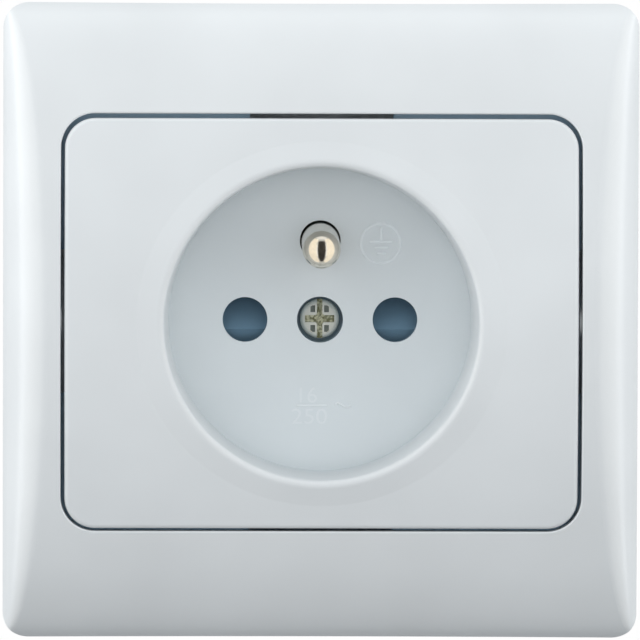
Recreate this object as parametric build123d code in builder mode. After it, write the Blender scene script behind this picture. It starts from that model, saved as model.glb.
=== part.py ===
from build123d import *

import os
from math import cos, radians, sin, tan

# Flush wall socket with a round well and an earth pin, in millimetres.
# The origin is the middle of the socket on the wall plane, X points right and Z up
# as a viewer sees it, and -Y points out of the wall. Levels are heights out of the
# wall plane, so what lies inside the wall has a negative level.

# Surround frame
frame_width = 80.0
frame_height = 80.0
frame_corner = 3.3
frame_bow = 0.15
frame_lift = 0.12
crest_level = 11.0
lip_level = 1.0
side_round = 6.0
skin_wall = 2.0
rim_wall = 2.2
cavity_slope = 3.6
arch_steps = 8
arch_end_angle = 87.0
skirt_wall = 1.6
window_edge_round = 0.2
ledge_level = 5.2
ledge_thickness = 1.5
ledge_reach = 2.4
notch_width = 18.0

# Centre plate
plate_width = 64.2
plate_height = 51.3
plate_corner = 3.8
plate_gap = 0.48
plate_wall = 2.0
plate_edge_round = 0.5
plate_rib = 1.2
plate_rib_height = 2.6
collar_width = 3.54
collar_rise = 0.3
collar_slope = 2.6
collar_bevel_share = 0.95
rim_radius = 19.66
rim_round = 0.7
well_depth = 15.0
well_draft = 0.51
well_wall = 1.5
floor_thickness = 2.0

# Contact layout
contact_spacing = 19.0
contact_hole = 5.68
earth_offset = 10.0
earth_hole = 5.17
screw_hole = 5.85
screw_recess = 3.0
boss_wall = 1.8
boss_length = 5.0

# Earth pin
pin_diameter = 4.8
pin_root_diameter = 4.68
pin_root_length = 2.0
pin_length = 14.0
pin_droop = 3.6
pin_flange_diameter = 6.2
pin_flange_thickness = 1.0
pin_flange_seat = 0.3
pin_tenon_diameter = 3.2
pin_tenon_length = 2.4

# Mounting plate
mount_plate_margin = 4.5
mount_plate_corner = 4.0
mount_plate_gauge = 1.0
mount_plate_lip = 1.5
mount_plate_lip_setback = 10.5
mount_plate_clearance = 0.8
wall_screw_spacing = 60.0
slot_width = 3.6
slot_length = 4.6
rivet_inset = 4.4
rivet_diameter = 2.8
rivet_head = 4.2
rivet_head_height = 0.8
rivet_length = 8.0

# Insert body behind the wall plane
body_side_wall = 1.3
body_corner = 6.5
body_depth = 27.0
body_rear_wall = 2.0
body_edge = 1.0
cover_clearance = 0.3
cover_thickness = 7.2
pocket_floor = 1.5
post_radius = 4.5

# Contacts and terminals
contact_gauge = 0.7
leaf_height = 6.0
leaf_gap = 4.4
leaf_flare = 0.85
leaf_mouth = 2.8
leaf_bend = 0.8
contact_inset = 0.7
web_clearance = 0.8
foot_offset = 13.0
foot_width = 7.0
foot_margin = 4.0
chamber_width = 8.6
chamber_side = 4.2
wire_gap = 3.0
clamp_size = 7.4
clamp_thickness = 1.2
clamp_corner = 0.8
terminal_clearance = 1.8
terminal_screw_diameter = 3.5
terminal_head_diameter = 5.8
terminal_head_height = 2.4
terminal_screw_end = 1.6
wire_bore = 3.2
wire_pitch = 5.8
driver_bore = 6.6

# Shutter
shutter_leg = 6.6
shutter_top = 3.5
shutter_edge = -1.3
shutter_shelf = -3.4
shutter_bottom = -9.5
shutter_bridge = 3.2
shutter_lip = 0.5
shutter_step = 1.4
shutter_travel = 6.0
spring_wire = 0.45
wire_sides = 6
spring_radius = 1.75
spring_turns = 5
spring_length = 9.5

# Fasteners
centre_head_diameter = 5.0
centre_head_height = 2.0
centre_screw_diameter = 3.5
centre_screw_length = 11.0
thread_depth = 0.25
bush_diameter = 6.0
bush_length = 9.5
cover_screw_offset = 16.8
cover_screw_diameter = 2.4
cover_head_diameter = 4.4
cover_head_height = 1.6
cover_head_depth = 2.2
cover_screw_length = 10.5
driver_slot = 0.9
driver_slot_depth = 1.0
head_edge = 0.3
centre_slot = 0.7
centre_slot_depth = 0.8
cross_width = 3.7
cross_slot = 0.9
socket_side = 1.4
socket_depth = 1.5
quarter_spacing_x = 1.75
quarter_spacing_z = 2.5
quarter_width = 0.6
quarter_height = 0.85
quarter_depth = 0.5
dome_edge = 0.6
bush_edge = 0.4

# Fits
press_gap = 0.02
recess_gap = 0.04
screw_gap = 0.2
slide_gap = 0.3
bore_gap = 0.35

# Levels and places that follow from the sizes above
floor_level = crest_level - well_depth
floor_back = floor_level - floor_thickness
screw_seat = floor_level - screw_recess - centre_head_height
boss_radius = screw_hole / 2 + boss_wall
boss_end = floor_back - boss_length
cover_level = floor_back - cover_clearance
cover_back = cover_level - cover_thickness
pocket_level = cover_back + pocket_floor
well_floor_radius = rim_radius - well_draft
collar_radius = rim_radius + collar_width
recess_radius = rim_radius + well_wall + recess_gap
cover_radius = recess_radius - slide_gap
body_size = 2 * (recess_radius + body_side_wall)
rivet_offset = body_size / 2 - rivet_inset
chamber_end = body_rear_wall - body_depth
post_level = boss_end - cover_clearance
well_taper = well_draft / well_depth
contact_x = contact_spacing / 2
foot_inner = foot_offset - contact_gauge / 2
foot_outer = foot_offset + contact_gauge / 2
clamp_inner = foot_outer + wire_gap
clamp_outer = clamp_inner + clamp_thickness
terminal_head_end = clamp_outer + terminal_head_height
chamber_top = terminal_head_end + slide_gap
web_level = chamber_end + web_clearance
terminal_depth = -chamber_end - terminal_clearance - clamp_size / 2
poles = {"neutral": -contact_x, "line": contact_x}
corners = {
    "top_left": (-rivet_offset, rivet_offset),
    "top_right": (rivet_offset, rivet_offset),
    "bottom_left": (-rivet_offset, -rivet_offset),
    "bottom_right": (rivet_offset, -rivet_offset),
}


def level_plane(level):
    """The plane at a level, with X right and Z up, facing out of the wall."""
    return Plane.XZ.offset(level)


def arched_block(width, height, crest, lip):
    """A block from the wall plane up to an arch, with both of its sides rounded over."""
    with BuildPart() as block:
        for step in range(-arch_steps, arch_steps + 1):
            angle = radians(arch_end_angle) * step / arch_steps
            rise = (crest - lip) * cos(angle)
            side = width / 2
            shoulder = side - side_round * cos(angle)
            place = height / 2 * sin(angle) / sin(radians(arch_end_angle))
            with BuildSketch(Plane.XY.offset(place)):
                with BuildLine():
                    Line((side, 0), (side, -lip))
                    EllipticalCenterArc((shoulder, -lip), side - shoulder, rise, 0, arc_size=-90)
                    Line((shoulder, -lip - rise), (-shoulder, -lip - rise))
                    EllipticalCenterArc((-shoulder, -lip), side - shoulder, rise, -90, arc_size=-90)
                    Line((-side, -lip), (-side, 0))
                    Line((-side, 0), (side, 0))
                make_face()
        loft()
    return block.part


def arched_bar(crest, height):
    """A straight bar across the whole frame with the elliptical arch as its section."""
    with BuildPart() as bar:
        with BuildSketch(Plane.YZ.offset(-frame_width / 2)):
            with Locations((-lip_level, 0)):
                Ellipse(crest - lip_level, height / 2)
        extrude(amount=frame_width)
    return bar.part


def straight_block(level, width, height, corner, amount):
    """A block with rounded corners that rises straight from a level."""
    with BuildPart() as block:
        with BuildSketch(level_plane(level)):
            RectangleRounded(width, height, corner)
        extrude(amount=amount)
    return block.part


def round_shell(back_radius, back_level, front_radius, front_level):
    """A solid cone between two levels on the socket's own axis."""
    with BuildPart() as shell:
        with BuildSketch(Plane.XY):
            with BuildLine():
                Polyline(
                    (0, -back_level),
                    (back_radius, -back_level),
                    (front_radius, -front_level),
                    (0, -front_level),
                    close=True,
                )
            make_face()
        revolve(axis=Axis.Y)
    return shell.part


def save(piece, name):
    """Give a finished piece its name and write it."""
    piece.part.label = name
    export_step(piece.part, f"parts/{name}.step")


os.makedirs("parts", exist_ok=True)

# Surround frame: an arched skin with a window, a skirt round it and a notched ledge
window_width = plate_width + 2 * plate_gap
window_height = plate_height + 2 * plate_gap
window_corner = plate_corner + plate_gap
skirt_width = window_width + 2 * skirt_wall
skirt_height = window_height + 2 * skirt_wall
skirt_corner = window_corner + skirt_wall
ledge_back = ledge_level - ledge_thickness
ledge_width = window_width - 2 * ledge_reach
ledge_height = window_height - 2 * ledge_reach
skin = arched_block(frame_width, frame_height, crest_level, lip_level)
skirt = straight_block(0, skirt_width, skirt_height, skirt_corner, crest_level)
cavity_side = frame_width / 2 - rim_wall
cavity_crest = crest_level - skin_wall
with BuildPart() as cavity:
    add(arched_bar(cavity_crest, frame_height - 2 * rim_wall))
    with BuildSketch(Plane.XY.offset(-frame_height / 2)):
        with BuildLine():
            Polyline(
                (cavity_side, 0),
                (cavity_side, cavity_slope - cavity_crest),
                (cavity_side - cavity_slope, -cavity_crest),
                (cavity_slope - cavity_side, -cavity_crest),
                (-cavity_side, cavity_slope - cavity_crest),
                (-cavity_side, 0),
                close=True,
            )
        make_face()
    extrude(amount=frame_height, mode=Mode.INTERSECT)
    add(skirt, mode=Mode.SUBTRACT)
with BuildPart() as surround:
    add(skin)
    with BuildSketch(Plane.XZ):
        with BuildLine():
            top_left = (-frame_width / 2, frame_height / 2)
            top_right = (frame_width / 2, frame_height / 2)
            bottom_right = (frame_width / 2, -frame_height / 2)
            bottom_left = (-frame_width / 2, -frame_height / 2)
            ThreePointArc(top_left, (0, frame_height / 2 - frame_bow), top_right)
            Line(top_right, bottom_right)
            ThreePointArc(bottom_right, (0, frame_bow - frame_height / 2), bottom_left)
            Line(bottom_left, top_left)
        make_face()
        fillet(vertices(), frame_corner)
    extrude(amount=2 * crest_level, both=True, mode=Mode.INTERSECT)
    add(cavity.part, mode=Mode.SUBTRACT)
    with BuildSketch(Plane.XZ):
        RectangleRounded(skirt_width, skirt_height, skirt_corner)
    extrude(amount=ledge_back, mode=Mode.SUBTRACT)
    with BuildSketch(level_plane(ledge_level)):
        RectangleRounded(window_width, window_height, window_corner)
    extrude(amount=crest_level, mode=Mode.SUBTRACT)
    window_edge = edges(Select.LAST).filter_by(lambda edge: -edge.center().Y > lip_level + ledge_level)
    fillet(window_edge, window_edge_round)
    with BuildSketch(level_plane(ledge_back)):
        RectangleRounded(ledge_width, ledge_height, window_corner)
        Rectangle(notch_width, window_height)
        Rectangle(window_width, notch_width)
    extrude(amount=ledge_thickness, mode=Mode.SUBTRACT)
with BuildPart() as surround_frame:
    with Locations((0, 0, frame_lift)):
        add(surround)
save(surround_frame, "surround_frame")

# Centre plate: an arched face with a soft collar round a deep well
hollow_width = plate_width - 2 * plate_wall
hollow_height = plate_height - 2 * plate_wall
arch = arched_bar(crest_level, frame_height)
inner_arch = arched_bar(crest_level - plate_wall, frame_height)
raised_arch = arched_bar(crest_level + collar_rise, frame_height)
hollow_corner = plate_corner - plate_wall / 2
hollow_block = straight_block(ledge_level, hollow_width, hollow_height, hollow_corner, crest_level)
hollow = inner_arch & hollow_block
well_mouth_radius = rim_radius + well_taper * crest_level
well_shell = arch & round_shell(
    well_floor_radius + well_wall, floor_back, rim_radius + well_wall, crest_level
)
well = round_shell(well_floor_radius, floor_level, well_mouth_radius, 2 * crest_level)
with BuildPart() as collar:
    add(raised_arch)
    with BuildSketch(level_plane(ledge_level)):
        Circle(collar_radius)
    extrude(amount=2 * crest_level, mode=Mode.INTERSECT)
    collar_top = faces().sort_by(Axis.Y)[0]
    collar_side = faces().filter_by(GeomType.CYLINDER).sort_by(SortBy.AREA)[-1]
    chamfer(collar_top.edges(), collar_rise * collar_bevel_share, collar_slope, reference=collar_side)
    add(inner_arch, mode=Mode.SUBTRACT)
with BuildPart() as centre_plate:
    add(arch)
    with BuildSketch(level_plane(ledge_level)):
        RectangleRounded(plate_width, plate_height, plate_corner)
    extrude(amount=crest_level, mode=Mode.INTERSECT)
    fillet(faces().sort_by(Axis.Y)[0].edges(), plate_edge_round)
    add(hollow, mode=Mode.SUBTRACT)
    with BuildSketch(level_plane(ledge_level)):
        Rectangle(hollow_width, plate_rib)
        Rectangle(plate_rib, hollow_height)
    extrude(amount=plate_rib_height)
    add(collar.part)
    add(well_shell)
    with BuildSketch(level_plane(floor_back)):
        Circle(boss_radius)
    extrude(amount=-boss_length)
    add(well, mode=Mode.SUBTRACT)
    rim = edges(Select.LAST).filter_by(lambda edge: -edge.center().Y > ledge_level)
    fillet(rim, rim_round)
    with BuildSketch(level_plane(floor_level)):
        with Locations((contact_x, 0), (-contact_x, 0)):
            Circle(contact_hole / 2)
        with Locations((0, earth_offset)):
            Circle(earth_hole / 2)
    extrude(amount=-floor_thickness, mode=Mode.SUBTRACT)
    with BuildSketch(level_plane(screw_seat)):
        Circle(screw_hole / 2)
    extrude(amount=floor_level - screw_seat, mode=Mode.SUBTRACT)
    with BuildSketch(level_plane(boss_end)):
        Circle(centre_screw_diameter / 2 + screw_gap)
    extrude(amount=screw_seat - boss_end, mode=Mode.SUBTRACT)
save(centre_plate, "centre_plate")

# Mounting plate: sheet metal with short radial slots for the wall screws and two folded lips
slot_reach = wall_screw_spacing / 2
mount_plate_width = frame_width - 2 * mount_plate_margin
mount_plate_height = frame_height - 2 * mount_plate_margin
lip_x = (mount_plate_width - mount_plate_gauge) / 2
with BuildPart() as mounting_plate:
    with BuildSketch(Plane.XZ):
        RectangleRounded(mount_plate_width, mount_plate_height, mount_plate_corner)
        Circle(recess_radius + mount_plate_clearance, mode=Mode.SUBTRACT)
        with PolarLocations(slot_reach, 4):
            SlotOverall(slot_length, slot_width, mode=Mode.SUBTRACT)
        with Locations(*corners.values()):
            Circle(rivet_diameter / 2 + press_gap, mode=Mode.SUBTRACT)
    extrude(amount=mount_plate_gauge)
    with BuildSketch(level_plane(mount_plate_gauge)):
        with Locations((lip_x, 0), (-lip_x, 0)):
            Rectangle(mount_plate_gauge, mount_plate_height - 2 * mount_plate_lip_setback)
    extrude(amount=mount_plate_lip)
save(mounting_plate, "mounting_plate")

# Insert body: a block with a round recess in front and a chamber for each conductor
chamber_depth = cover_back - chamber_end
pole_chamber_height = chamber_side + chamber_top
earth_chamber_start = earth_offset - chamber_side
earth_chamber_height = chamber_top - earth_chamber_start
wire_place = (foot_outer + clamp_inner) / 2
wire_holes = [(x + side * wire_pitch / 2, -wire_place) for x in poles.values() for side in (-1, 1)]
wire_holes += [(side * wire_pitch / 2, wire_place) for side in (-1, 1)]
cover_screws = {"left": -cover_screw_offset, "right": cover_screw_offset}
cover_seat = cover_level - cover_head_depth
with BuildPart() as insert_body:
    with BuildSketch(Plane.XZ):
        RectangleRounded(body_size, body_size, body_corner)
    extrude(amount=-body_depth)
    chamfer(faces().sort_by(Axis.Y)[-1].edges(), body_edge)
    with BuildSketch(Plane.XZ):
        Circle(recess_radius)
    extrude(amount=cover_back, mode=Mode.SUBTRACT)
    with BuildSketch(level_plane(cover_back)):
        Circle(post_radius)
    extrude(amount=post_level - cover_back)
    with BuildSketch(level_plane(cover_back)):
        with Locations(*((x, chamber_side) for x in poles.values())):
            Rectangle(chamber_width, pole_chamber_height, align=(Align.CENTER, Align.MAX))
        with Locations((0, earth_chamber_start)):
            Rectangle(chamber_width, earth_chamber_height, align=(Align.CENTER, Align.MIN))
    extrude(amount=-chamber_depth, mode=Mode.SUBTRACT)
    with BuildSketch(level_plane(-body_depth)):
        with Locations(*wire_holes):
            Circle(wire_bore / 2)
    extrude(amount=body_rear_wall, mode=Mode.SUBTRACT)
    with BuildSketch(Plane.XY.offset(-body_size / 2)):
        with Locations(*((x, terminal_depth) for x in poles.values())):
            Circle(driver_bore / 2)
    extrude(amount=body_size / 2 - chamber_top, mode=Mode.SUBTRACT)
    with BuildSketch(Plane.XY.offset(chamber_top)):
        with Locations((0, terminal_depth)):
            Circle(driver_bore / 2)
    extrude(amount=body_size / 2 - chamber_top, mode=Mode.SUBTRACT)
    with BuildSketch(level_plane(post_level)):
        Circle(bush_diameter / 2 + press_gap)
    extrude(amount=-bush_length, mode=Mode.SUBTRACT)
    with BuildSketch(level_plane(post_level - bush_length)):
        Circle(centre_screw_diameter / 2)
    extrude(amount=chamber_end - post_level + bush_length, mode=Mode.SUBTRACT)
    with BuildSketch(level_plane(cover_back)):
        with Locations(*((x, 0) for x in cover_screws.values())):
            Circle(cover_screw_diameter / 2 + press_gap)
    extrude(amount=cover_seat - cover_screw_length - slide_gap - cover_back, mode=Mode.SUBTRACT)
    with BuildSketch(Plane.XZ):
        with Locations(*corners.values()):
            Circle(rivet_diameter / 2 + press_gap)
    extrude(amount=-rivet_length, mode=Mode.SUBTRACT)
save(insert_body, "insert_body")

# Contact cover: a disc over the chambers with a pocket that the shutter slides in
leg_inner = contact_x - shutter_leg / 2
leg_outer = contact_x + shutter_leg / 2
bridge_top = shutter_bottom + shutter_bridge
pocket_bottom = shutter_bottom - shutter_travel - slide_gap
spring_foot = shutter_bottom - spring_length
pocket_top = shutter_top + slide_gap
pocket_reach = leg_outer + slide_gap
bridge_clear = bridge_top + slide_gap
spring_room = 2 * (spring_radius + spring_wire)
pin_lean = tan(radians(pin_droop))
pin_bore_place = earth_offset + (floor_level - (cover_level + cover_back) / 2) * pin_lean
pin_flange_place = earth_offset + (floor_level - cover_back) * pin_lean
with BuildPart() as contact_cover:
    with BuildSketch(level_plane(cover_back)):
        Circle(cover_radius)
    extrude(amount=cover_thickness)
    chamfer(faces().sort_by(Axis.Y)[0].edges(), head_edge)
    with BuildSketch(level_plane(cover_level)):
        with Locations((0, bridge_clear)):
            Rectangle(2 * pocket_reach, bridge_clear - pocket_bottom, align=(Align.CENTER, Align.MAX))
        with Locations((contact_x, pocket_top), (-contact_x, pocket_top)):
            Rectangle(
                shutter_leg + 2 * slide_gap,
                pocket_top - pocket_bottom,
                align=(Align.CENTER, Align.MAX),
            )
        with Locations((0, pocket_bottom)):
            Rectangle(spring_room, pocket_bottom - spring_foot, align=(Align.CENTER, Align.MAX))
    extrude(amount=pocket_level - cover_level, mode=Mode.SUBTRACT)
    with BuildSketch(level_plane(cover_level)):
        Circle(boss_radius + bore_gap)
        with Locations((contact_x, 0), (-contact_x, 0)):
            Circle(contact_hole / 2)
        with Locations((0, pin_bore_place)):
            Circle(pin_diameter / 2 + bore_gap)
        with Locations(*((x, 0) for x in cover_screws.values())):
            Circle(cover_screw_diameter / 2 + screw_gap)
    extrude(amount=-cover_thickness, mode=Mode.SUBTRACT)
    with BuildSketch(level_plane(cover_level)):
        with Locations(*((x, 0) for x in cover_screws.values())):
            Circle(cover_head_diameter / 2 + screw_gap)
    extrude(amount=-cover_head_depth, mode=Mode.SUBTRACT)
    with BuildSketch(level_plane(cover_back)):
        with Locations((0, pin_flange_place)):
            Circle(pin_flange_diameter / 2 + bore_gap)
    extrude(amount=pin_flange_thickness + pin_flange_seat + bore_gap, mode=Mode.SUBTRACT)
save(contact_cover, "contact_cover")

# Shutter: two ramps on one bridge, which plug pins push down against a spring
ramp_front = cover_level - slide_gap
ramp_back = pocket_level + slide_gap
with BuildPart() as shutter:
    with BuildSketch(Plane.YZ.offset(-leg_outer)):
        with BuildLine():
            Polyline(
                (-ramp_front, shutter_edge),
                (-ramp_back - shutter_lip, shutter_top),
                (-ramp_back, shutter_top),
                (-ramp_back, shutter_bottom),
                (-ramp_front + shutter_step, shutter_bottom),
                (-ramp_front + shutter_step, shutter_shelf),
                close=True,
            )
        make_face()
    extrude(amount=2 * leg_outer)
    with BuildSketch(level_plane(ramp_back)):
        with Locations((0, bridge_top)):
            Rectangle(2 * leg_inner, shutter_top - bridge_top, align=(Align.CENTER, Align.MIN))
    extrude(amount=ramp_front - ramp_back, mode=Mode.SUBTRACT)
save(shutter, "shutter")

# Shutter spring: a compression spring on the vertical below the bridge
spring_depth = -(ramp_front - shutter_step + ramp_back) / 2
spring_rise = spring_length - spring_wire
with BuildPart() as shutter_spring:
    with BuildLine():
        coil = Helix(
            spring_rise / spring_turns,
            spring_rise,
            spring_radius,
            center=(0, spring_depth, spring_foot + spring_wire / 2),
        )
    with BuildSketch(Plane(coil @ 0, z_dir=coil % 0)):
        RegularPolygon(spring_wire / 2, wire_sides)
    sweep(is_frenet=True)
save(shutter_spring, "shutter_spring")

# Earth pin: a domed pin on a flange, which droops a little from square
pin_root = Vector(0, -floor_level, earth_offset)
pin_plane = Plane(pin_root, x_dir=(1, 0, 0), z_dir=(0, -cos(radians(pin_droop)), -sin(radians(pin_droop))))
pin_flange_front = cover_back + pin_flange_seat + pin_flange_thickness - floor_level
pin_flange_back = pin_flange_front - pin_flange_thickness
with BuildPart() as pin_blank:
    with BuildSketch(Plane.XZ):
        with BuildLine():
            Polyline(
                (0, pin_flange_back - pin_tenon_length),
                (pin_tenon_diameter / 2, pin_flange_back - pin_tenon_length),
                (pin_tenon_diameter / 2, pin_flange_back),
                (pin_flange_diameter / 2, pin_flange_back),
                (pin_flange_diameter / 2, pin_flange_front),
                (pin_root_diameter / 2, pin_flange_front),
                (pin_root_diameter / 2, pin_root_length / 2),
                (pin_diameter / 2, pin_root_length),
                (pin_diameter / 2, pin_length - pin_diameter / 2),
            )
            CenterArc((0, pin_length - pin_diameter / 2), pin_diameter / 2, 0, 90)
            Line((0, pin_length), (0, pin_flange_back - pin_tenon_length))
        make_face()
    revolve(axis=Axis.Z)
with BuildPart() as earth_pin:
    add(pin_plane.location * pin_blank.part)
save(earth_pin, "earth_pin")

# Earth bridge: a folded strip from the pin's tenon to the earth terminal
web_start = cover_back - contact_gauge / 2
foot_end = -terminal_depth - foot_margin
tenon_place = earth_offset + (floor_level - web_start) * pin_lean
foot_hole = terminal_screw_diameter / 2 - thread_depth + press_gap
with BuildPart() as earth_bridge:
    with BuildSketch(Plane.YZ.offset(-foot_width / 2)):
        with BuildLine():
            FilletPolyline(
                (-web_start, earth_chamber_start + slide_gap),
                (-web_start, foot_offset),
                (-foot_end, foot_offset),
                radius=leaf_bend,
            )
        trace(line_width=contact_gauge)
    extrude(amount=foot_width)
    with BuildSketch(level_plane(cover_back)):
        with Locations((0, tenon_place)):
            Circle(pin_tenon_diameter / 2 + screw_gap)
    extrude(amount=-contact_gauge, mode=Mode.SUBTRACT)
    with BuildSketch(Plane.XY.offset(foot_inner)):
        with Locations((0, terminal_depth)):
            Circle(foot_hole)
    extrude(amount=contact_gauge, mode=Mode.SUBTRACT)
save(earth_bridge, "earth_bridge")

# Pole contacts: two sprung leaves on a web that folds into the terminal foot
leaf_offset = (leaf_gap + contact_gauge) / 2
mouth_offset = leaf_offset + leaf_flare
leaf_start = cover_back - contact_inset
leaf_throat = leaf_start - leaf_mouth
for name, x in poles.items():
    with BuildPart() as contact:
        with BuildSketch(Plane.XY.offset(-leaf_height / 2)):
            with BuildLine():
                FilletPolyline(
                    (x - mouth_offset, -leaf_start),
                    (x - leaf_offset, -leaf_throat),
                    (x - leaf_offset, -web_level),
                    (x + leaf_offset, -web_level),
                    (x + leaf_offset, -leaf_throat),
                    (x + mouth_offset, -leaf_start),
                    radius=leaf_bend,
                )
            trace(line_width=contact_gauge)
        extrude(amount=leaf_height)
        with BuildSketch(Plane.YZ.offset(x - leaf_offset)):
            with BuildLine():
                FilletPolyline(
                    (-web_level, leaf_height / 2),
                    (-web_level, -foot_offset),
                    (terminal_depth - foot_margin, -foot_offset),
                    radius=leaf_bend,
                )
            trace(line_width=contact_gauge)
        extrude(amount=2 * leaf_offset)
        with BuildSketch(Plane.XY.offset(-foot_outer)):
            with Locations((x, terminal_depth)):
                Circle(foot_hole)
        extrude(amount=contact_gauge, mode=Mode.SUBTRACT)
    save(contact, f"{name}_contact")

# Terminals: a square clamp under the head of each terminal screw
terminal_end = foot_inner - terminal_screw_end
terminals = {name: (x, -1) for name, x in poles.items()} | {"earth": (0, 1)}
for name, (x, side) in terminals.items():
    with BuildPart() as clamp:
        with BuildSketch(Plane.XY.offset(side * clamp_inner)):
            with Locations((x, terminal_depth)):
                RectangleRounded(clamp_size, clamp_size, clamp_corner)
                Circle(terminal_screw_diameter / 2 + screw_gap, mode=Mode.SUBTRACT)
        extrude(amount=side * clamp_thickness)
    save(clamp, f"{name}_clamp")
    with BuildPart() as terminal_screw:
        with BuildSketch(Plane.XY.offset(side * clamp_outer)):
            with Locations((x, terminal_depth)):
                Circle(terminal_head_diameter / 2)
        extrude(amount=side * terminal_head_height)
        head_face = faces().sort_by(Axis.Z)[-1 if side > 0 else 0]
        chamfer(head_face.edges(), head_edge)
        with BuildSketch(Plane.XY.offset(side * terminal_head_end)):
            with Locations((x, terminal_depth)):
                Rectangle(driver_slot, terminal_head_diameter)
        extrude(amount=-side * driver_slot_depth, mode=Mode.SUBTRACT)
        with BuildSketch(Plane.XY.offset(side * clamp_outer)):
            with Locations((x, terminal_depth)):
                Circle(terminal_screw_diameter / 2 - thread_depth)
        extrude(amount=-side * (clamp_outer - terminal_end))
    save(terminal_screw, f"{name}_terminal_screw")

# Centre screw and its bush
with BuildPart() as centre_screw:
    with BuildSketch(level_plane(screw_seat)):
        Circle(centre_head_diameter / 2)
    extrude(amount=centre_head_height)
    fillet(faces().sort_by(Axis.Y)[0].edges(), dome_edge)
    with BuildSketch(level_plane(screw_seat + centre_head_height)):
        Rectangle(centre_slot, centre_head_diameter)
        Rectangle(cross_width, cross_slot)
    extrude(amount=-centre_slot_depth, mode=Mode.SUBTRACT)
    with BuildSketch(level_plane(screw_seat + centre_head_height)):
        Rectangle(socket_side, socket_side, rotation=45)
    extrude(amount=-socket_depth, mode=Mode.SUBTRACT)
    with BuildSketch(level_plane(screw_seat + centre_head_height)):
        with GridLocations(quarter_spacing_x, quarter_spacing_z, 2, 2):
            Rectangle(quarter_width, quarter_height)
    extrude(amount=-quarter_depth, mode=Mode.SUBTRACT)
    with BuildSketch(level_plane(screw_seat)):
        Circle(centre_screw_diameter / 2 - thread_depth)
    extrude(amount=-centre_screw_length)
save(centre_screw, "centre_screw")

with BuildPart() as threaded_bush:
    with BuildSketch(level_plane(post_level)):
        Circle(bush_diameter / 2)
        Circle(centre_screw_diameter / 2 - thread_depth + press_gap, mode=Mode.SUBTRACT)
    extrude(amount=-bush_length)
    chamfer(faces().sort_by(Axis.Y)[0].edges(), bush_edge)
save(threaded_bush, "threaded_bush")

# Cover screws: they hold the contact cover down on the insert body
for name, x in cover_screws.items():
    with BuildPart() as cover_screw:
        with BuildSketch(level_plane(cover_seat)):
            with Locations((x, 0)):
                Circle(cover_head_diameter / 2)
        extrude(amount=cover_head_height)
        chamfer(faces().sort_by(Axis.Y)[0].edges(), head_edge)
        with BuildSketch(level_plane(cover_seat + cover_head_height)):
            with Locations((x, 0)):
                Rectangle(driver_slot, cover_head_diameter)
        extrude(amount=-driver_slot_depth, mode=Mode.SUBTRACT)
        with BuildSketch(level_plane(cover_seat)):
            with Locations((x, 0)):
                Circle(cover_screw_diameter / 2)
        extrude(amount=-cover_screw_length)
    save(cover_screw, f"cover_screw_{name}")

# Rivets: they hold the insert body to the mounting plate
for name, corner in corners.items():
    with BuildPart() as rivet:
        with BuildSketch(level_plane(mount_plate_gauge)):
            with Locations(corner):
                Circle(rivet_head / 2)
        extrude(amount=rivet_head_height)
        chamfer(faces().sort_by(Axis.Y)[0].edges(), head_edge)
        with BuildSketch(level_plane(mount_plate_gauge)):
            with Locations(corner):
                Circle(rivet_diameter / 2)
        extrude(amount=-rivet_length)
    save(rivet, f"rivet_{name}")
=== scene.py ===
import math

import bpy
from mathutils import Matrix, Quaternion, Vector


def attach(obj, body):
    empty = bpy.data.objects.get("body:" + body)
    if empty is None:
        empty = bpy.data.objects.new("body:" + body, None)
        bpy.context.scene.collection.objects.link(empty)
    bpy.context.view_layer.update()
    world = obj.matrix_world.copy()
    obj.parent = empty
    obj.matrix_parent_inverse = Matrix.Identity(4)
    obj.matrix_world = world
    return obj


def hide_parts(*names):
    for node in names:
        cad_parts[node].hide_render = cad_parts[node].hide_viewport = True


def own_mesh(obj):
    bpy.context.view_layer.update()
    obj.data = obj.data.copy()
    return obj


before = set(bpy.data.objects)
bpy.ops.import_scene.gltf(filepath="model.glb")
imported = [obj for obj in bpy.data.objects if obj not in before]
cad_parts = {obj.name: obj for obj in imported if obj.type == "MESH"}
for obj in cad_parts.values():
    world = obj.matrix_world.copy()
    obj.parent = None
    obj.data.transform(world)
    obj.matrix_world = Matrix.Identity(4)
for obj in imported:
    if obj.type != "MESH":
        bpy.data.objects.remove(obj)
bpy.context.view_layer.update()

# Flush wall socket. The wall plane is y = 0, +X points right, +Z up, and -Y out of the wall.
MM = 0.001

# The photograph: its side in pixels, its scale and where the signs on the well floor show in it
PHOTO_SIDE = 640
PX_PER_MM = 7.892
CONTACT_CENTRE_PX = (320.0, 319.6)
EARTH_RING_PX = (380.2, 243.2)
EARTH_STEM_PX = (381.0, 233.5)
EARTH_LONG_BAR_PX = (380.5, 241.5)
EARTH_MIDDLE_BAR_PX = (380.8, 247.3)
EARTH_SHORT_BAR_PX = (381.1, 253.3)
CURRENT_PX = (308.5, 395.0)
RATING_BAR_PX = (312.0, 405.6)
WAVE_PX = (343.5, 405.5)
VOLTAGE_PX = (309.5, 416.3)

# The view of the photograph: angles in degrees, distance in metres, sensor in millimetres
VIEW_YAW = -0.85
VIEW_PITCH = 2.4
VIEW_ROLL = 0.18
VIEW_DISTANCE = 0.95
SENSOR = 36.0

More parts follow.
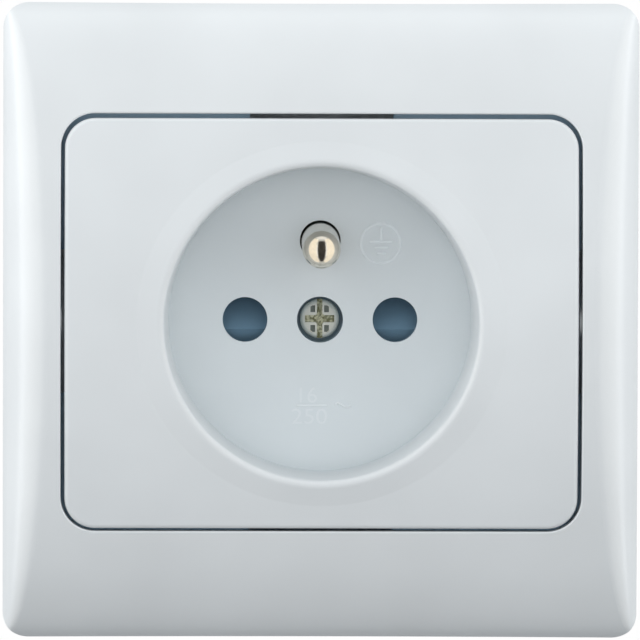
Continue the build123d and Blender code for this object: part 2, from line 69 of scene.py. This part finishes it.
# The signs raised on the well floor, which lies this far behind the wall plane
WELL_FLOOR_Y = 4.0 * MM
RELIEF = 0.12 * MM
LINE = 0.36 * MM
THIN_LINE = 0.28 * MM
LINE_ROUNDING = 0.35
EARTH_RING_RADIUS = 2.5 * MM
EARTH_STEM_HEIGHT = 1.7 * MM
EARTH_BARS = {
    "long": (EARTH_LONG_BAR_PX, 3.0 * MM),
    "middle": (EARTH_MIDDLE_BAR_PX, 1.9 * MM),
    "short": (EARTH_SHORT_BAR_PX, 1.2 * MM),
}
CURRENT_SIZE = (2.2 * MM, 2.0 * MM)
RATING_BAR_WIDTH = 3.9 * MM
VOLTAGE_SIZE = (4.5 * MM, 1.95 * MM)
WAVE_SIZE = (1.9 * MM, 0.5 * MM)
WAVE_CREST = 1.7

# The coil that stands for the shutter's spring
SPRING_WIRE = 0.45 * MM
SPRING_TURNS = 5
WIRE_SIDES = 12
COIL_STEPS = 28

# Where shade is painted: the gap round the plate, the well, the holes behind it and the screw's head
PLATE_GAP = 0.52 * MM
LEDGE_DEPTH = 5.0 * MM
WELL_SHADE_START = 4.0 * MM
WELL_SHADE_FULL = 0.5 * MM
HOLE_EDGE = 0.2 * MM
SCREW_FLAT_RADIUS = 1.9 * MM
SCREW_SLOT_HALF_WIDTH = 0.36 * MM
SCREW_MARK_DEPTH = 0.1 * MM
SCREW_SLOT_DEPTH = 0.65 * MM

# Painted shades that multiply a colour, and painted shade and glint colours that replace it
GAP_SHADE = (0.50, 0.70, 0.86)
WELL_SHADE = (0.97, 1.0, 1.01)
HOLE_SHADE = (0.50, 0.62, 0.70)
SLATE_PAINTED_SHADE = (0.30, 0.34, 0.34)
OLIVE_PAINTED_SHADE = (0.30, 0.30, 0.16)
BRASSY_PAINTED_GLINT = (0.95, 0.94, 0.70)

# The studio: where its softboxes point, its whites and its darks
SOCKET_MIDDLE = Vector((0, 0, 0))
COOL_WHITE = (0.94, 0.985, 1.005)
WARM_WHITE = (1.0, 0.93, 0.81)
WARM_BLACK = (0.035, 0.03, 0.025)
FLOOR_DARK = (0.90, 0.90, 0.90)
FLOOR_PALE = (0.94, 0.94, 0.94)
FLOOR_BOUNCE = (0.27, 0.28, 0.29)


def box_of(node):
    """The low and high corner of a CAD node."""
    corners = [Vector(corner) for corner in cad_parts[node].bound_box]
    return Vector(map(min, *corners)), Vector(map(max, *corners))


def on_floor(pixel):
    """The place on the well floor that a pixel of the photograph shows."""
    right = (pixel[0] - CONTACT_CENTRE_PX[0]) / PX_PER_MM * MM
    up = (CONTACT_CENTRE_PX[1] - pixel[1]) / PX_PER_MM * MM
    return Vector((right, WELL_FLOOR_Y, up))


# Where the shaded places lie, from the CAD nodes
plate_low, plate_high = box_of("centre_plate")
WINDOW_HALF_WIDTH = plate_high.x + PLATE_GAP
WINDOW_HALF_HEIGHT = plate_high.z + PLATE_GAP
LEDGE_Y = plate_low.y + LEDGE_DEPTH
SCREW_FACE_Y = box_of("centre_screw")[0].y


# Steps that the finishes share

def new_finish(name):
    """An empty material with its shader and a coordinate node."""
    finish = bpy.data.materials.new(name)
    finish.use_nodes = True
    nodes = finish.node_tree.nodes
    shader = nodes["Principled BSDF"]
    place = nodes.new("ShaderNodeTexCoord")
    return finish, nodes, finish.node_tree.links, shader, place


def noise(nodes, links, place, scale, detail=3.0, roughness=0.5):
    """Noise over the object's own coordinates."""
    texture = nodes.new("ShaderNodeTexNoise")
    texture.inputs["Scale"].default_value = scale
    texture.inputs["Detail"].default_value = detail
    texture.inputs["Roughness"].default_value = roughness
    links.new(place.outputs["Object"], texture.inputs["Vector"])
    return texture


def crystals(nodes, links, place, scale):
    """The distance to the nearest cell centre, over the object's own coordinates."""
    cells = nodes.new("ShaderNodeTexVoronoi")
    cells.inputs["Scale"].default_value = scale
    links.new(place.outputs["Object"], cells.inputs["Vector"])
    return cells.outputs["Distance"]


def spread(nodes, links, source, low, high):
    """Maps a 0 to 1 output to a range."""
    scale = nodes.new("ShaderNodeMapRange")
    scale.inputs["To Min"].default_value = low
    scale.inputs["To Max"].default_value = high
    links.new(source, scale.inputs["Value"])
    return scale.outputs["Result"]


def share(nodes, links, source, start, end):
    """How far an output has come from a start to an end, from 0 to 1."""
    scale = nodes.new("ShaderNodeMapRange")
    scale.inputs["From Min"].default_value = start
    scale.inputs["From Max"].default_value = end
    links.new(source, scale.inputs["Value"])
    return scale.outputs["Result"]


def tint(nodes, links, source, dark, light, low=0.3, high=0.7):
    """A ramp between two close colours."""
    ramp = nodes.new("ShaderNodeValToRGB")
    ramp.color_ramp.elements[0].position = low
    ramp.color_ramp.elements[0].color = (*dark, 1.0)
    ramp.color_ramp.elements[1].position = high
    ramp.color_ramp.elements[1].color = (*light, 1.0)
    links.new(source, ramp.inputs["Fac"])
    return ramp.outputs["Color"]


def bump(nodes, links, height, shader, strength, distance):
    """Surface relief from a height output."""
    relief = nodes.new("ShaderNodeBump")
    relief.inputs["Strength"].default_value = strength
    relief.inputs["Distance"].default_value = distance
    links.new(height, relief.inputs["Height"])
    links.new(relief.outputs["Normal"], shader.inputs["Normal"])


def multiplied(nodes, links, colour, shade, factor):
    """A colour multiplied by a shade as far as a factor says."""
    stain = nodes.new("ShaderNodeMix")
    stain.data_type = "RGBA"
    stain.blend_type = "MULTIPLY"
    links.new(factor, stain.inputs["Factor"])
    links.new(colour, stain.inputs["A"])
    stain.inputs["B"].default_value = (*shade, 1.0)
    return stain.outputs["Result"]


def mixed(nodes, links, colour, other, factor):
    """A colour that gives way to another as far as a factor says."""
    blend = nodes.new("ShaderNodeMix")
    blend.data_type = "RGBA"
    links.new(factor, blend.inputs["Factor"])
    links.new(colour, blend.inputs["A"])
    blend.inputs["B"].default_value = (*other, 1.0)
    return blend.outputs["Result"]


def calculated(nodes, links, operation, first, second=None):
    """The result of a sum on one or two values, each an output or a number."""
    step = nodes.new("ShaderNodeMath")
    step.operation = operation
    for place, value in enumerate((first, second)):
        if isinstance(value, (int, float)):
            step.inputs[place].default_value = value
        elif value is not None:
            links.new(value, step.inputs[place])
    return step.outputs["Value"]


def object_axes(nodes, links, place):
    """The object's own coordinates, each as an output."""
    axes = nodes.new("ShaderNodeSeparateXYZ")
    links.new(place.outputs["Object"], axes.inputs["Vector"])
    return axes.outputs["X"], axes.outputs["Y"], axes.outputs["Z"]


# Painted shade and glints by place

def gap_shaded(nodes, links, place, colour):
    """Painted shade: darker blue on the ledge inside the surround's window, which shows round the plate.
    """
    x, y, z = object_axes(nodes, links, place)
    across = calculated(nodes, links, "DIVIDE", calculated(nodes, links, "ABSOLUTE", x), WINDOW_HALF_WIDTH)
    up = calculated(nodes, links, "DIVIDE", calculated(nodes, links, "ABSOLUTE", z), WINDOW_HALF_HEIGHT)
    farthest = calculated(nodes, links, "MAXIMUM", across, up)
    inside = calculated(nodes, links, "LESS_THAN", farthest, 1.0)
    below = calculated(nodes, links, "GREATER_THAN", y, LEDGE_Y)
    shaded = calculated(nodes, links, "MULTIPLY", inside, below)
    return multiplied(nodes, links, colour, GAP_SHADE, shaded)


def well_shaded(nodes, links, place, colour):
    """Painted shade: faint blue in the depth of the well, and dark in the holes behind its floor."""
    _, y, _ = object_axes(nodes, links, place)
    depth = share(nodes, links, y, WELL_FLOOR_Y - WELL_SHADE_START, WELL_FLOOR_Y - WELL_SHADE_FULL)
    colour = multiplied(nodes, links, colour, WELL_SHADE, depth)
    behind = calculated(nodes, links, "GREATER_THAN", y, WELL_FLOOR_Y + HOLE_EDGE)
    return multiplied(nodes, links, colour, HOLE_SHADE, behind)


def screw_head_painted_shade_and_glints(nodes, links, place, colour):
    """Painted shade on the centre screw's head: slate in its shallow marks and olive in its slots, with
    painted brassy glints in the slots.
    """
    x, y, z = object_axes(nodes, links, place)
    depth = calculated(nodes, links, "SUBTRACT", y, SCREW_FACE_Y)
    across = calculated(nodes, links, "POWER", x, 2.0)
    up = calculated(nodes, links, "POWER", z, 2.0)
    radius = calculated(nodes, links, "SQRT", calculated(nodes, links, "ADD", across, up))
    in_flat = calculated(nodes, links, "LESS_THAN", radius, SCREW_FLAT_RADIUS)
    sideways = calculated(nodes, links, "ABSOLUTE", x)
    in_slot = calculated(nodes, links, "LESS_THAN", sideways, SCREW_SLOT_HALF_WIDTH)
    middle = calculated(nodes, links, "MAXIMUM", in_flat, in_slot)
    marked = calculated(nodes, links, "GREATER_THAN", depth, SCREW_MARK_DEPTH)
    slotted = calculated(nodes, links, "GREATER_THAN", depth, SCREW_SLOT_DEPTH)
    recess_shade = calculated(nodes, links, "MULTIPLY", middle, marked)
    colour = multiplied(nodes, links, colour, SLATE_PAINTED_SHADE, recess_shade)
    deep = calculated(nodes, links, "MULTIPLY", middle, slotted)
    colour = mixed(nodes, links, colour, OLIVE_PAINTED_SHADE, deep)
    sparks = noise(nodes, links, place, scale=2400.0, detail=2.0)
    glints = spread(nodes, links, sparks.outputs["Fac"], low=-1.6, high=2.6)
    return mixed(nodes, links, colour, BRASSY_PAINTED_GLINT, calculated(nodes, links, "MULTIPLY", deep, glints))


# Finishes

def moulded_plastic(name, colour, roughness, flow=0.03, grain=0.05, wear=0.15, shaded=None):
    """Moulded plastic with faint flow shading and the fine grain of the mould."""
    finish, nodes, links, shader, place = new_finish(name)
    broad = noise(nodes, links, place, scale=55.0, detail=2.0)
    dark = [channel * (1 - flow) for channel in colour]
    light = [min(1.0, channel * (1 + flow)) for channel in colour]
    flowed = tint(nodes, links, broad.outputs["Fac"], dark, light)
    if shaded:
        flowed = shaded(nodes, links, place, flowed)
    links.new(flowed, shader.inputs["Base Color"])
    fine = noise(nodes, links, place, scale=2600.0, detail=3.0)
    worn = spread(nodes, links, fine.outputs["Fac"], roughness * (1 - wear), roughness * (1 + wear))
    links.new(worn, shader.inputs["Roughness"])
    bump(nodes, links, fine.outputs["Fac"], shader, strength=grain, distance=0.01 * MM)
    shader.inputs["IOR"].default_value = 1.5
    return finish


def smooth_white_plastic(name, colour, roughness, shaded):
    """Gloss white plastic whose grain hardly shows, shaded by place."""
    return moulded_plastic(name, colour, roughness, grain=0.015, wear=0.02, shaded=shaded)


def speckled_thermoset(name, colour, fleck):
    """Satin thermoset with small flecks of filler."""
    finish, nodes, links, shader, place = new_finish(name)
    filler = crystals(nodes, links, place, scale=1800.0)
    speckled = tint(nodes, links, filler, fleck, colour, low=0.05, high=0.28)
    links.new(speckled, shader.inputs["Base Color"])
    fine = noise(nodes, links, place, scale=1500.0, detail=4.0)
    satin = spread(nodes, links, fine.outputs["Fac"], low=0.42, high=0.58)
    links.new(satin, shader.inputs["Roughness"])
    bump(nodes, links, fine.outputs["Fac"], shader, strength=0.3, distance=0.02 * MM)
    return finish


def plated_metal(name, dark, light, low, high, cell=0.0, scratch=0.0, metallic=1.0, recess_shade=None):
    """Plated or bare metal: the cells of its plating, fine drawn lines, and painted shade and glints in
    its hollows where a step for them is given.
    """
    finish, nodes, links, shader, place = new_finish(name)
    shader.inputs["Metallic"].default_value = metallic
    if cell:
        pattern = crystals(nodes, links, place, cell)
    else:
        pattern = noise(nodes, links, place, scale=240.0, detail=4.0).outputs["Fac"]
    colour = tint(nodes, links, pattern, dark, light, low=0.2, high=0.8)
    if recess_shade:
        colour = recess_shade(nodes, links, place, colour)
    links.new(colour, shader.inputs["Base Color"])
    lines = noise(nodes, links, place, scale=900.0, detail=5.0, roughness=0.6)
    if scratch:
        stretch = nodes.new("ShaderNodeMapping")
        stretch.inputs["Scale"].default_value = (scratch, 1.0, 1.0)
        links.new(place.outputs["Object"], stretch.inputs["Vector"])
        links.new(stretch.outputs["Vector"], lines.inputs["Vector"])
    links.new(spread(nodes, links, lines.outputs["Fac"], low, high), shader.inputs["Roughness"])
    bump(nodes, links, lines.outputs["Fac"], shader, strength=0.15, distance=0.01 * MM)
    return finish


frame_plastic = smooth_white_plastic(
    "white_frame_plastic", colour=(0.825, 0.845, 0.859), roughness=0.28, shaded=gap_shaded,
)
plate_plastic = smooth_white_plastic(
    "white_plate_plastic", colour=(0.825, 0.847, 0.863), roughness=0.30, shaded=well_shaded,
)
# Painted highlight: the raised signs and numbers get a lighter, bluer white than the plate
highlit_sign_plastic = moulded_plastic("raised_sign_painted_highlight", colour=(0.90, 0.945, 0.975), roughness=0.25)
highlit_number_plastic = moulded_plastic("raised_number_painted_highlight", colour=(0.887, 0.926, 0.95), roughness=0.25)
body_thermoset = speckled_thermoset(
    "insert_thermoset", colour=(0.62, 0.63, 0.60), fleck=(0.50, 0.51, 0.49),
)
cover_plastic = moulded_plastic("contact_cover_plastic", colour=(0.42, 0.47, 0.50), roughness=0.45)
# The white shutter in shadow deep in the contact holes, coloured a dark blue-grey: painted shade
shaded_shutter_plastic = moulded_plastic("shaded_shutter_plastic", colour=(0.23, 0.38, 0.51), roughness=0.38)
galvanised = plated_metal(
    "galvanised_sheet", dark=(0.62, 0.65, 0.68), light=(0.72, 0.75, 0.78), low=0.30, high=0.42,
    cell=520.0, metallic=0.6,
)
zinc = plated_metal(
    "passivated_zinc", dark=(0.62, 0.61, 0.54), light=(0.80, 0.79, 0.70), low=0.30, high=0.45,
)
# The centre screw's zinc, with painted shade in its marks and slots and painted glints
shaded_screw_zinc = plated_metal(
    "zinc_with_painted_shade_and_glints", dark=(0.93, 0.91, 0.82), light=(1.0, 0.98, 0.88), low=0.28, high=0.40,
    metallic=0.2, recess_shade=screw_head_painted_shade_and_glints,
)
nickel = plated_metal(
    "polished_nickel", dark=(0.71, 0.65, 0.56), light=(0.81, 0.75, 0.65), low=0.12, high=0.18,
)
brass = plated_metal(
    "rolled_brass", dark=(0.66, 0.48, 0.20), light=(0.78, 0.60, 0.28), low=0.20, high=0.36, scratch=0.1,
)
spring_steel = plated_metal(
    "spring_wire", dark=(0.42, 0.43, 0.44), light=(0.56, 0.57, 0.58), low=0.22, high=0.34,
)

FINISHES = {
    "surround_frame": frame_plastic,
    "centre_plate": plate_plastic,
    "insert_body": body_thermoset,
    "contact_cover": cover_plastic,
    "shutter": shaded_shutter_plastic,
    "shutter_spring": spring_steel,
    "mounting_plate": galvanised,
    "earth_pin": nickel,
    "earth_bridge": brass,
    "line_contact": brass,
    "neutral_contact": brass,
    "threaded_bush": brass,
    "centre_screw": shaded_screw_zinc,
}
for pole in ("line", "neutral", "earth"):
    FINISHES[f"{pole}_clamp"] = galvanised
    FINISHES[f"{pole}_terminal_screw"] = zinc
for side in ("left", "right"):
    FINISHES[f"cover_screw_{side}"] = zinc
for corner in ("top_left", "top_right", "bottom_left", "bottom_right"):
    FINISHES[f"rivet_{corner}"] = galvanised

for node, finish in FINISHES.items():
    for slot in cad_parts[node].material_slots:
        slot.material = finish

bpy.ops.object.select_all(action="DESELECT")


# Raised signs on the well floor

def settle(piece, name, finish):
    """Finishes a piece: its place goes into its mesh, and it rides on the socket."""
    bpy.ops.object.transform_apply(location=True, rotation=True, scale=True)
    piece.name = name
    piece.data.name = name
    piece.data.materials.clear()
    piece.data.materials.append(finish)
    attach(piece, "socket")
    bpy.ops.object.select_all(action="DESELECT")


def raised_ring(name, centre, radius, line, finish):
    """A ring of a flat raised line round a sign."""
    bpy.ops.mesh.primitive_torus_add(
        location=centre, rotation=(math.pi / 2, 0, 0), major_radius=radius, minor_radius=line / 2,
        major_segments=96, minor_segments=12,
    )
    ring = bpy.context.active_object
    ring.scale.z = 2 * RELIEF / line
    settle(ring, name, finish)


def raised_line(name, centre, width, height, finish):
    """A straight raised line with rounded edges."""
    bpy.ops.mesh.primitive_cube_add(size=1, location=centre)
    line = bpy.context.active_object
    line.scale = (width, 2 * RELIEF, height)
    bpy.ops.object.transform_apply(location=False, rotation=False, scale=True)
    bpy.ops.object.mode_set(mode="EDIT")
    bpy.ops.mesh.select_all(action="SELECT")
    bpy.ops.mesh.bevel(offset=LINE_ROUNDING * min(width, height), segments=3)
    bpy.ops.object.mode_set(mode="OBJECT")
    settle(line, name, finish)


def raised_number(name, digits, centre, size, finish):
    """Plain digits of a given width and height."""
    bpy.ops.object.text_add(rotation=(math.pi / 2, 0, 0))
    text = bpy.context.active_object
    text.data.body = digits
    text.data.align_x = "CENTER"
    text.data.extrude = RELIEF
    text.data.resolution_u = 6
    bpy.ops.object.convert(target="MESH")
    number = bpy.context.active_object
    corners = [Vector(corner) for corner in number.bound_box]
    low = Vector(map(min, *corners))
    high = Vector(map(max, *corners))
    width, height = size
    number.scale = (width / (high.x - low.x), height / (high.y - low.y), 1.0)
    middle = (low + high) / 2
    number.location = centre - Vector((middle.x * number.scale.x, 0, middle.y * number.scale.y))
    settle(number, name, finish)


def raised_wave(name, centre, size, line, finish):
    """One period of a raised wave."""
    bpy.ops.curve.primitive_bezier_curve_add(location=centre, rotation=(math.pi / 2, 0, 0))
    wave = bpy.context.active_object
    width, height = size
    crest = WAVE_CREST * height
    start, end = wave.data.splines[0].bezier_points
    start.co = (-width / 2, 0, 0)
    start.handle_left = (-width / 2, -height, 0)
    start.handle_right = (-width / 6, crest, 0)
    end.co = (width / 2, 0, 0)
    end.handle_left = (width / 6, -crest, 0)
    end.handle_right = (width / 2, height, 0)
    wave.data.bevel_depth = line / 2
    wave.data.bevel_resolution = 3
    wave.data.use_fill_caps = True
    bpy.ops.object.convert(target="MESH")
    wave = bpy.context.active_object
    wave.scale.z = 2 * RELIEF / line
    settle(wave, name, finish)


def earth_sign():
    """The sign of the earth contact: a stem on three bars that get shorter, in a ring."""
    raised_ring("earth_sign_ring", on_floor(EARTH_RING_PX), EARTH_RING_RADIUS, LINE, highlit_sign_plastic)
    raised_line("earth_sign_stem", on_floor(EARTH_STEM_PX), LINE, EARTH_STEM_HEIGHT, highlit_sign_plastic)
    for name, (pixel, width) in EARTH_BARS.items():
        raised_line(f"earth_sign_{name}_bar", on_floor(pixel), width, LINE, highlit_sign_plastic)


def rating():
    """The current over a bar, the voltage below it, and the wave of alternating current beside it."""
    raised_number("rating_upper_number", "16", on_floor(CURRENT_PX), CURRENT_SIZE, highlit_number_plastic)
    raised_line("rating_bar", on_floor(RATING_BAR_PX), RATING_BAR_WIDTH, THIN_LINE, highlit_number_plastic)
    raised_wave("alternating_sign", on_floor(WAVE_PX), WAVE_SIZE, THIN_LINE, highlit_number_plastic)
    raised_number("rating_lower_number", "250", on_floor(VOLTAGE_PX), VOLTAGE_SIZE, highlit_number_plastic)


earth_sign()
rating()


# Shutter spring

def coiled_spring(name, node):
    """A coil in the place of the CAD spring."""
    low, high = box_of(node)
    middle = (low + high) / 2
    rise = high.z - low.z - SPRING_WIRE
    radius = (high.x - low.x - SPRING_WIRE) / 2
    bpy.ops.mesh.primitive_circle_add(
        vertices=WIRE_SIDES, radius=SPRING_WIRE / 2,
        location=(radius, 0, 0), rotation=(math.pi / 2, 0, 0),
    )
    bpy.ops.object.transform_apply(location=True, rotation=True, scale=True)
    spring = bpy.context.active_object
    coil = spring.modifiers.new("coil", "SCREW")
    coil.iterations = SPRING_TURNS
    coil.screw_offset = rise / SPRING_TURNS
    coil.steps = COIL_STEPS
    bpy.ops.object.modifier_apply(modifier=coil.name)
    bpy.ops.object.mode_set(mode="EDIT")
    bpy.ops.mesh.select_all(action="SELECT")
    bpy.ops.mesh.fill_holes(sides=WIRE_SIDES)
    bpy.ops.mesh.select_all(action="SELECT")
    bpy.ops.mesh.normals_make_consistent(inside=False)
    bpy.ops.object.mode_set(mode="OBJECT")
    bpy.ops.object.shade_smooth()
    spring.location = (middle.x, middle.y, low.z + SPRING_WIRE / 2)
    settle(spring, name, spring_steel)
    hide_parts(node)
    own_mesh(spring)


coiled_spring("coiled_shutter_spring", "shutter_spring")


# Studio

def softbox(name, place, size, power, mirrored=True):
    """A soft rectangular light that faces the socket, and that reflections show if it is mirrored."""
    data = bpy.data.lights.new(name, "AREA")
    data.shape = "RECTANGLE"
    data.size, data.size_y = size
    data.energy = power
    light = bpy.data.objects.new(name, data)
    bpy.context.scene.collection.objects.link(light)
    light.location = place
    light.rotation_euler = (SOCKET_MIDDLE - Vector(place)).to_track_quat("-Z", "Y").to_euler()
    light.visible_glossy = mirrored


def white_world(camera_white, strength):
    """A white surround that the camera sees as plain white and that lights softly."""
    world = bpy.data.worlds.new("studio")
    bpy.context.scene.world = world
    world.use_nodes = True
    nodes, links = world.node_tree.nodes, world.node_tree.links
    nodes.clear()
    seen = nodes.new("ShaderNodeBackground")
    seen.inputs["Color"].default_value = (1.0, 1.0, 1.0, 1.0)
    seen.inputs["Strength"].default_value = camera_white
    lit = nodes.new("ShaderNodeBackground")
    lit.inputs["Color"].default_value = (*COOL_WHITE, 1.0)
    lit.inputs["Strength"].default_value = strength
    ray = nodes.new("ShaderNodeLightPath")
    mix = nodes.new("ShaderNodeMixShader")
    out = nodes.new("ShaderNodeOutputWorld")
    links.new(ray.outputs["Is Camera Ray"], mix.inputs["Fac"])
    links.new(lit.outputs["Background"], mix.inputs[1])
    links.new(seen.outputs["Background"], mix.inputs[2])
    links.new(mix.outputs["Shader"], out.inputs["Surface"])


def pale_floor(level, side):
    """A plain pale floor below the socket, which throws little light back up at it."""
    bpy.ops.mesh.primitive_plane_add(size=side, location=(0, 0, level))
    floor = bpy.context.active_object
    floor.name = "studio_floor"
    finish, nodes, links, shader, place = new_finish("pale_floor")
    soft = noise(nodes, links, place, scale=6.0, detail=2.0)
    pale = tint(nodes, links, soft.outputs["Fac"], FLOOR_DARK, FLOOR_PALE)
    ray = nodes.new("ShaderNodeLightPath")
    shade = nodes.new("ShaderNodeMix")
    shade.data_type = "RGBA"
    links.new(ray.outputs["Is Camera Ray"], shade.inputs["Factor"])
    shade.inputs["A"].default_value = (*FLOOR_BOUNCE, 1.0)
    links.new(pale, shade.inputs["B"])
    links.new(shade.outputs["Result"], shader.inputs["Base Color"])
    shader.inputs["Roughness"].default_value = 0.7
    floor.data.materials.append(finish)
    floor.visible_glossy = False


def mirror_card(name, place, size, colour, glow):
    """An upright card round the camera that only reflections show, as on the polished pin."""
    turn = math.atan2(place[0], -place[1])
    bpy.ops.mesh.primitive_plane_add(size=1, location=place, rotation=(math.pi / 2, 0, turn))
    card = bpy.context.active_object
    card.name = name
    card.scale = (*size, 1.0)
    bpy.ops.object.transform_apply(location=True, rotation=True, scale=True)
    finish, nodes, links, shader, coordinates = new_finish(f"{name}_paper")
    grain = noise(nodes, links, coordinates, scale=8.0, detail=2.0)
    faint = [0.8 * channel for channel in colour]
    paper = tint(nodes, links, grain.outputs["Fac"], faint, colour)
    links.new(paper, shader.inputs["Base Color"])
    links.new(paper, shader.inputs["Emission Color"])
    shader.inputs["Emission Strength"].default_value = glow
    shader.inputs["Roughness"].default_value = 0.9
    card.data.materials.append(finish)
    card.visible_camera = False
    card.visible_diffuse = False
    card.visible_shadow = False


def photo_camera():
    """The camera at the photograph's viewing angle."""
    yaw, pitch = math.radians(VIEW_YAW), math.radians(VIEW_PITCH)
    back = Vector((math.sin(yaw) * math.cos(pitch), -math.cos(yaw) * math.cos(pitch), math.sin(pitch)))
    target = Vector((0, WELL_FLOOR_Y, 0))
    data = bpy.data.cameras.new("photo_camera")
    data.sensor_width = SENSOR
    data.lens = SENSOR * VIEW_DISTANCE * PX_PER_MM / MM / PHOTO_SIDE
    data.clip_start = 0.01
    data.clip_end = 20.0
    data.shift_x = (PHOTO_SIDE / 2 - CONTACT_CENTRE_PX[0]) / PHOTO_SIDE
    data.shift_y = (CONTACT_CENTRE_PX[1] - PHOTO_SIDE / 2) / PHOTO_SIDE
    camera = bpy.data.objects.new("photo_camera", data)
    bpy.context.scene.collection.objects.link(camera)
    camera.location = target + back * VIEW_DISTANCE
    camera.rotation_mode = "QUATERNION"
    turn = Quaternion((0, 0, 1), math.radians(VIEW_ROLL))
    camera.rotation_quaternion = (-back).to_track_quat("-Z", "Y") @ turn
    bpy.context.scene.camera = camera


photo_camera()
white_world(camera_white=1.0, strength=0.68)
pale_floor(level=-0.07, side=0.66)
softbox("front_left_softbox", place=(-0.9, -1.5, -0.1), size=(1.0, 2.4), power=4.8)
softbox("front_right_softbox", place=(0.9, -1.5, -0.1), size=(1.0, 2.4), power=4.4)
softbox("left_softbox", place=(-1.0, -0.12, 0.15), size=(0.8, 1.0), power=5.6)
softbox("right_softbox", place=(1.0, -0.09, 0.1), size=(0.8, 1.0), power=4.6)
softbox("top_softbox", place=(0.0, -0.2, 1.0), size=(0.9, 0.5), power=0.6)
softbox("well_softbox", place=(0.0, -1.2, -0.1), size=(0.6, 0.6), power=1.7, mirrored=False)
mirror_card("dark_card", place=(0, -0.9, -1.2), size=(0.85, 4.8), colour=WARM_BLACK, glow=0.0)
for side, way in (("left", -1), ("right", 1)):
    mirror_card(
        f"{side}_bright_card", place=(way * 0.56, -0.33, -0.6), size=(0.68, 3.6),
        colour=WARM_WHITE, glow=0.52,
    )
bpy.context.scene.view_settings.view_transform = "Standard"
